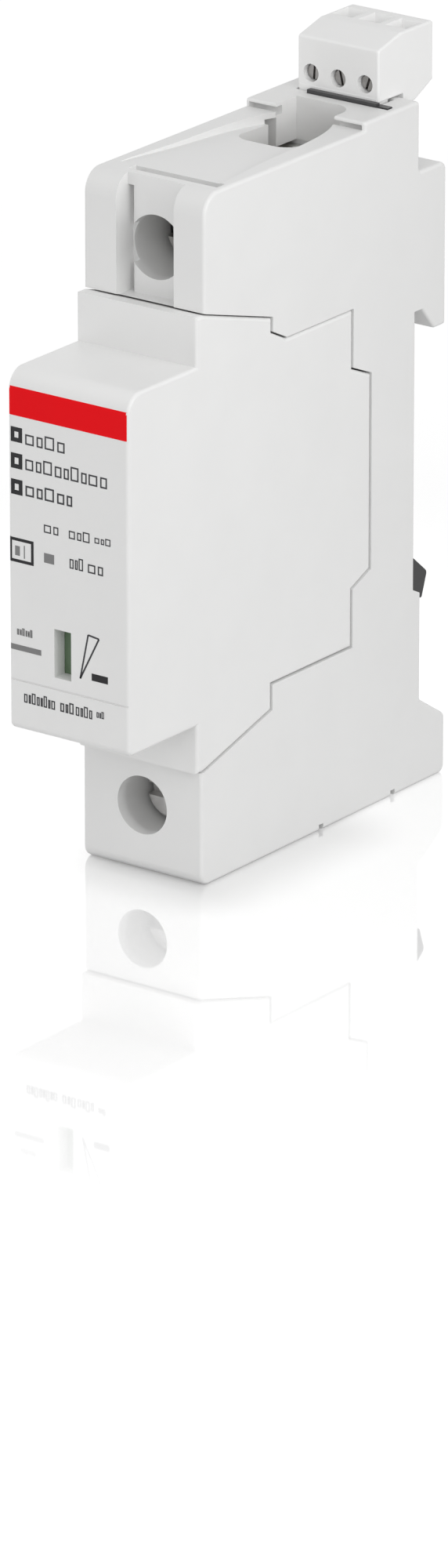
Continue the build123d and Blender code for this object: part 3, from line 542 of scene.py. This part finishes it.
def vector_calculated(tree, operation, *operands):
    """The result of a Vector Math node, which is a number for a length and else a vector."""
    step = node_of(tree, "ShaderNodeVectorMath", operation=operation)
    for socket, operand in zip(step.inputs, operands):
        feed(tree, socket, operand)
    return step.outputs["Value" if operation == "LENGTH" else "Vector"]


def faded(tree, distance, fade):
    """A value that runs smoothly between the two distances of a fade."""
    return ranged(tree, distance, *fade, interpolation="SMOOTHSTEP")


def polished_sheet(name):
    """White paper that glows a little to the camera, and half as much to reflections, under a
    mirror that fades out with the distance. Round the foot's front and right edges a painted
    shade darkens the glow and the paper."""
    material = bpy.data.materials.new(name)
    material.use_nodes = True
    tree = material.node_tree
    tree.nodes.clear()
    reach = vector_calculated(tree, "LENGTH", surface_place(tree, object_middle))
    from_middle = vector_calculated(tree, "ABSOLUTE", surface_place(tree, foot_middle))
    outside = vector_calculated(tree, "SUBTRACT", from_middle, foot_half_size)
    past_edge = vector_calculated(tree, "MAXIMUM", outside, (0, 0, 0))
    # Painted shade: 0.7 at the foot's edges, rising to 1 at 12 mm, darkens the glow and the paper.
    painted_foot_shade = faded(tree, vector_calculated(tree, "LENGTH", past_edge), foot_shade_fade)
    ray = node_of(tree, "ShaderNodeLightPath").outputs
    seen = calculated(
        tree, "MULTIPLY_ADD", ray["Is Glossy Ray"], mirrored_share, ray["Is Camera Ray"]
    )
    near_glow = faded(tree, reach, near_glow_fade)
    full_glow = calculated(tree, "ADD", near_glow, faded(tree, reach, far_glow_fade))
    glow = calculated(tree, "MULTIPLY", calculated(tree, "MULTIPLY", seen, full_glow), painted_foot_shade)
    white = node_of(tree, "ShaderNodeEmission")
    tree.links.new(glow, white.inputs["Strength"])
    paper = node_of(tree, "ShaderNodeBsdfDiffuse")
    paper_tint = blended(tree, seen, paper_unseen, paper_seen)
    tree.links.new(vector_calculated(tree, "MULTIPLY", paper_tint, painted_foot_shade), paper.inputs["Color"])
    pale = node_of(tree, "ShaderNodeAddShader")
    tree.links.new(white.outputs[0], pale.inputs[0])
    tree.links.new(paper.outputs[0], pale.inputs[1])
    mirror = node_of(tree, "ShaderNodeBsdfGlossy")
    mirror.inputs["Roughness"].default_value = mirror_roughness
    sheet = node_of(tree, "ShaderNodeMixShader")
    tree.links.new(faded(tree, reach, mirror_fade), sheet.inputs["Fac"])
    tree.links.new(pale.outputs[0], sheet.inputs[1])
    tree.links.new(mirror.outputs[0], sheet.inputs[2])
    output = node_of(tree, "ShaderNodeOutputMaterial")
    tree.links.new(sheet.outputs[0], output.inputs["Surface"])
    return material


floor_mesh.materials.append(polished_sheet("floor_sheet"))


# Studio: a white tent lights the object evenly, with a broad lamp on the right and weaker ones
# above it, on the left and low in front. The tent is plain white where the camera or a reflection
# sees it.
tent_light = 0.61
tent_seen = 1.0
lamp_size = 0.12
lamp_aim = (0, -0.03, 0.01)
lamps = (
    ("right_lamp", (0.163, -0.057, 0.090), 0.137),
    ("high_lamp", (0.137, -0.193, 0.159), 0.07),
    ("low_lamp", (-0.061, -0.197, -0.021), 0.062),
    ("left_lamp", (-0.167, -0.059, 0.072), 0.06),
)


def white_tent(name):
    """A world of plain white, dimmer to the rays that only bring light."""
    world = bpy.data.worlds.new(name)
    world.use_nodes = True
    tree = world.node_tree
    tree.nodes.clear()
    ray = node_of(tree, "ShaderNodeLightPath").outputs
    direct = calculated(tree, "MAXIMUM", ray["Is Camera Ray"], ray["Is Glossy Ray"])
    clear = calculated(tree, "MAXIMUM", direct, ray["Is Transmission Ray"])
    tent = node_of(tree, "ShaderNodeBackground")
    tent.inputs["Color"].default_value = (1, 1, 1, 1)
    tree.links.new(ranged(tree, clear, 0, 1, tent_light, tent_seen), tent.inputs["Strength"])
    output = node_of(tree, "ShaderNodeOutputWorld")
    tree.links.new(tent.outputs[0], output.inputs["Surface"])
    return world


def turned_to(place, aim):
    """The turn of a lamp or camera at a place that looks at a point, upright."""
    return (Vector(aim) - Vector(place)).to_track_quat("-Z", "Y").to_euler()


def broad_lamp(name, place, power):
    """A square lamp, in metres and watts, turned towards the lamps' aim."""
    data = bpy.data.lights.new(name, "AREA")
    data.size = lamp_size
    data.energy = power
    lamp = bpy.data.objects.new(name, data)
    bpy.context.scene.collection.objects.link(lamp)
    lamp.location = place
    lamp.rotation_euler = turned_to(place, lamp_aim)


bpy.context.scene.world = white_tent("tent")
for lamp in lamps:
    broad_lamp(*lamp)


# Camera: a long lens from the front right and a little above, level, as the photograph was taken.
# Its place and lens were fitted to the edges of the housing.
camera_place = (0.758215, -1.053006, 0.436737)
camera_aim = (-0.001525, -0.025, -0.03789)
camera_data = bpy.data.cameras.new("camera")
camera_data.lens = 257.76
camera_data.sensor_width = 36
camera_data.clip_start = 0.05
camera_data.clip_end = 20
camera = bpy.data.objects.new("camera", camera_data)
bpy.context.scene.collection.objects.link(camera)
camera.location = camera_place
camera.rotation_euler = turned_to(camera_place, camera_aim)
bpy.context.scene.camera = camera
bpy.context.scene.view_settings.view_transform = "Standard"
